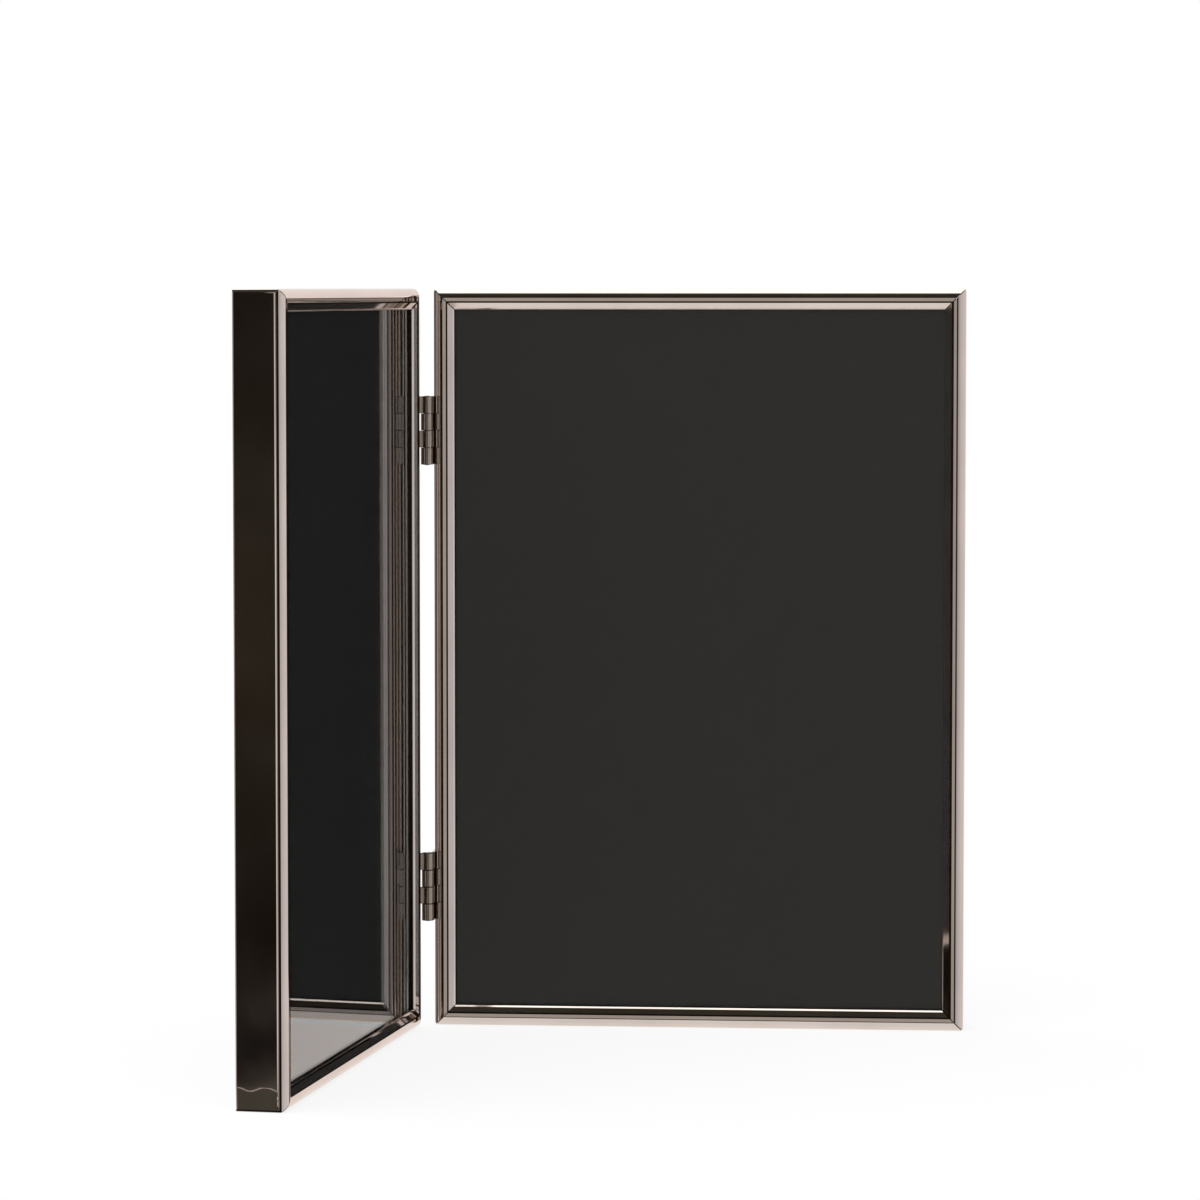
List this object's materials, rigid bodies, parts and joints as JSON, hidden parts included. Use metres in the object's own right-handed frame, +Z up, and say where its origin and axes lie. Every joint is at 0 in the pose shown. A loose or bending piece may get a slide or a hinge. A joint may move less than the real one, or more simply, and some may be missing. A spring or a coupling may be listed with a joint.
{
  "type": "hinged double photo frame",
  "caption": "Hinged double photo frame: glazed panels of bright plated sheet that fold like a book on small butt hinges, with a velvet board held by turn clips in each back.",
  "frame": {"origin": "middle of the right panel's underside, on the surface that the frame stands on", "axes": "+X along the right panel's width away from the hinges, -Y out of its glass, +Z up"},
  "size_m": [0.1621, 0.1459, 0.185],
  "materials": {
    "nickel_plate": "polished nickel plate, slightly warm",
    "steel_strip": "plain bright steel strip",
    "clear_glass": "clear float glass",
    "charcoal_card": "matt charcoal card, bare",
    "grey_board": "grey filler board",
    "fibreboard": "raw brown fibreboard",
    "black_velvet": "short black pile"
  },
  "bodies": {
    "right_panel": {"right_top_rail": "nickel_plate", "right_bottom_rail": "nickel_plate", "right_hinge_rail": "nickel_plate", "right_outer_rail": "nickel_plate", "right_corner_keys": "steel_strip", "right_glass": "clear_glass", "right_insert_card": "charcoal_card", "right_card_pad": "grey_board", "right_backing_board": "fibreboard", "right_velvet_facing": "black_velvet", "right_clip_rivets": "steel_strip", "upper_right_leaf": "nickel_plate", "upper_pin": "nickel_plate", "lower_right_leaf": "nickel_plate", "lower_pin": "nickel_plate"},
    "left_panel": {"left_top_rail": "nickel_plate", "left_bottom_rail": "nickel_plate", "left_hinge_rail": "nickel_plate", "left_outer_rail": "nickel_plate", "left_corner_keys": "steel_strip", "left_glass": "clear_glass", "left_insert_card": "charcoal_card", "left_card_pad": "grey_board", "left_backing_board": "fibreboard", "left_velvet_facing": "black_velvet", "left_clip_rivets": "steel_strip", "upper_left_leaf": "nickel_plate", "lower_left_leaf": "nickel_plate"},
    "right_clip_lower_hinge": {"right_clip_lower_hinge": "steel_strip"},
    "right_clip_upper_hinge": {"right_clip_upper_hinge": "steel_strip"},
    "right_clip_lower_outer": {"right_clip_lower_outer": "steel_strip"},
    "right_clip_upper_outer": {"right_clip_upper_outer": "steel_strip"},
    "left_clip_lower_outer": {"left_clip_lower_outer": "steel_strip"},
    "left_clip_upper_outer": {"left_clip_upper_outer": "steel_strip"},
    "left_clip_lower_hinge": {"left_clip_lower_hinge": "steel_strip"},
    "left_clip_upper_hinge": {"left_clip_upper_hinge": "steel_strip"}
  },
  "joints": [
    {"name": "fold", "type": "hinge", "parent": "right_panel", "child": "left_panel", "pos_m": [-0.06775, -0.0071, 0], "axis": [0, 0, 1], "range_deg": [-88.5, 96.5]},
    {"name": "right_clip_lower_hinge_turn", "type": "hinge", "parent": "right_panel", "child": "right_clip_lower_hinge", "pos_m": [-0.0522, 0.0043, 0.046], "axis": [0, 1, 0], "continuous": true},
    {"name": "right_clip_upper_hinge_turn", "type": "hinge", "parent": "right_panel", "child": "right_clip_upper_hinge", "pos_m": [-0.0522, 0.0043, 0.139], "axis": [0, 1, 0], "continuous": true},
    {"name": "right_clip_lower_outer_turn", "type": "hinge", "parent": "right_panel", "child": "right_clip_lower_outer", "pos_m": [0.0522, 0.0043, 0.046], "axis": [0, 1, 0], "continuous": true},
    {"name": "right_clip_upper_outer_turn", "type": "hinge", "parent": "right_panel", "child": "right_clip_upper_outer", "pos_m": [0.0522, 0.0043, 0.139], "axis": [0, 1, 0], "continuous": true},
    {"name": "left_clip_lower_outer_turn", "type": "hinge", "parent": "left_panel", "child": "left_clip_lower_outer", "pos_m": [-0.09266, -0.12499, 0.046], "axis": [-0.9936, 0.1132, 0], "continuous": true},
    {"name": "left_clip_upper_outer_turn", "type": "hinge", "parent": "left_panel", "child": "left_clip_upper_outer", "pos_m": [-0.09266, -0.12499, 0.139], "axis": [-0.9936, 0.1132, 0], "continuous": true},
    {"name": "left_clip_lower_hinge_turn", "type": "hinge", "parent": "left_panel", "child": "left_clip_lower_hinge", "pos_m": [-0.08084, -0.02126, 0.046], "axis": [-0.9936, 0.1132, 0], "continuous": true},
    {"name": "left_clip_upper_hinge_turn", "type": "hinge", "parent": "left_panel", "child": "left_clip_upper_hinge", "pos_m": [-0.08084, -0.02126, 0.139], "axis": [-0.9936, 0.1132, 0], "continuous": true}
  ]
}
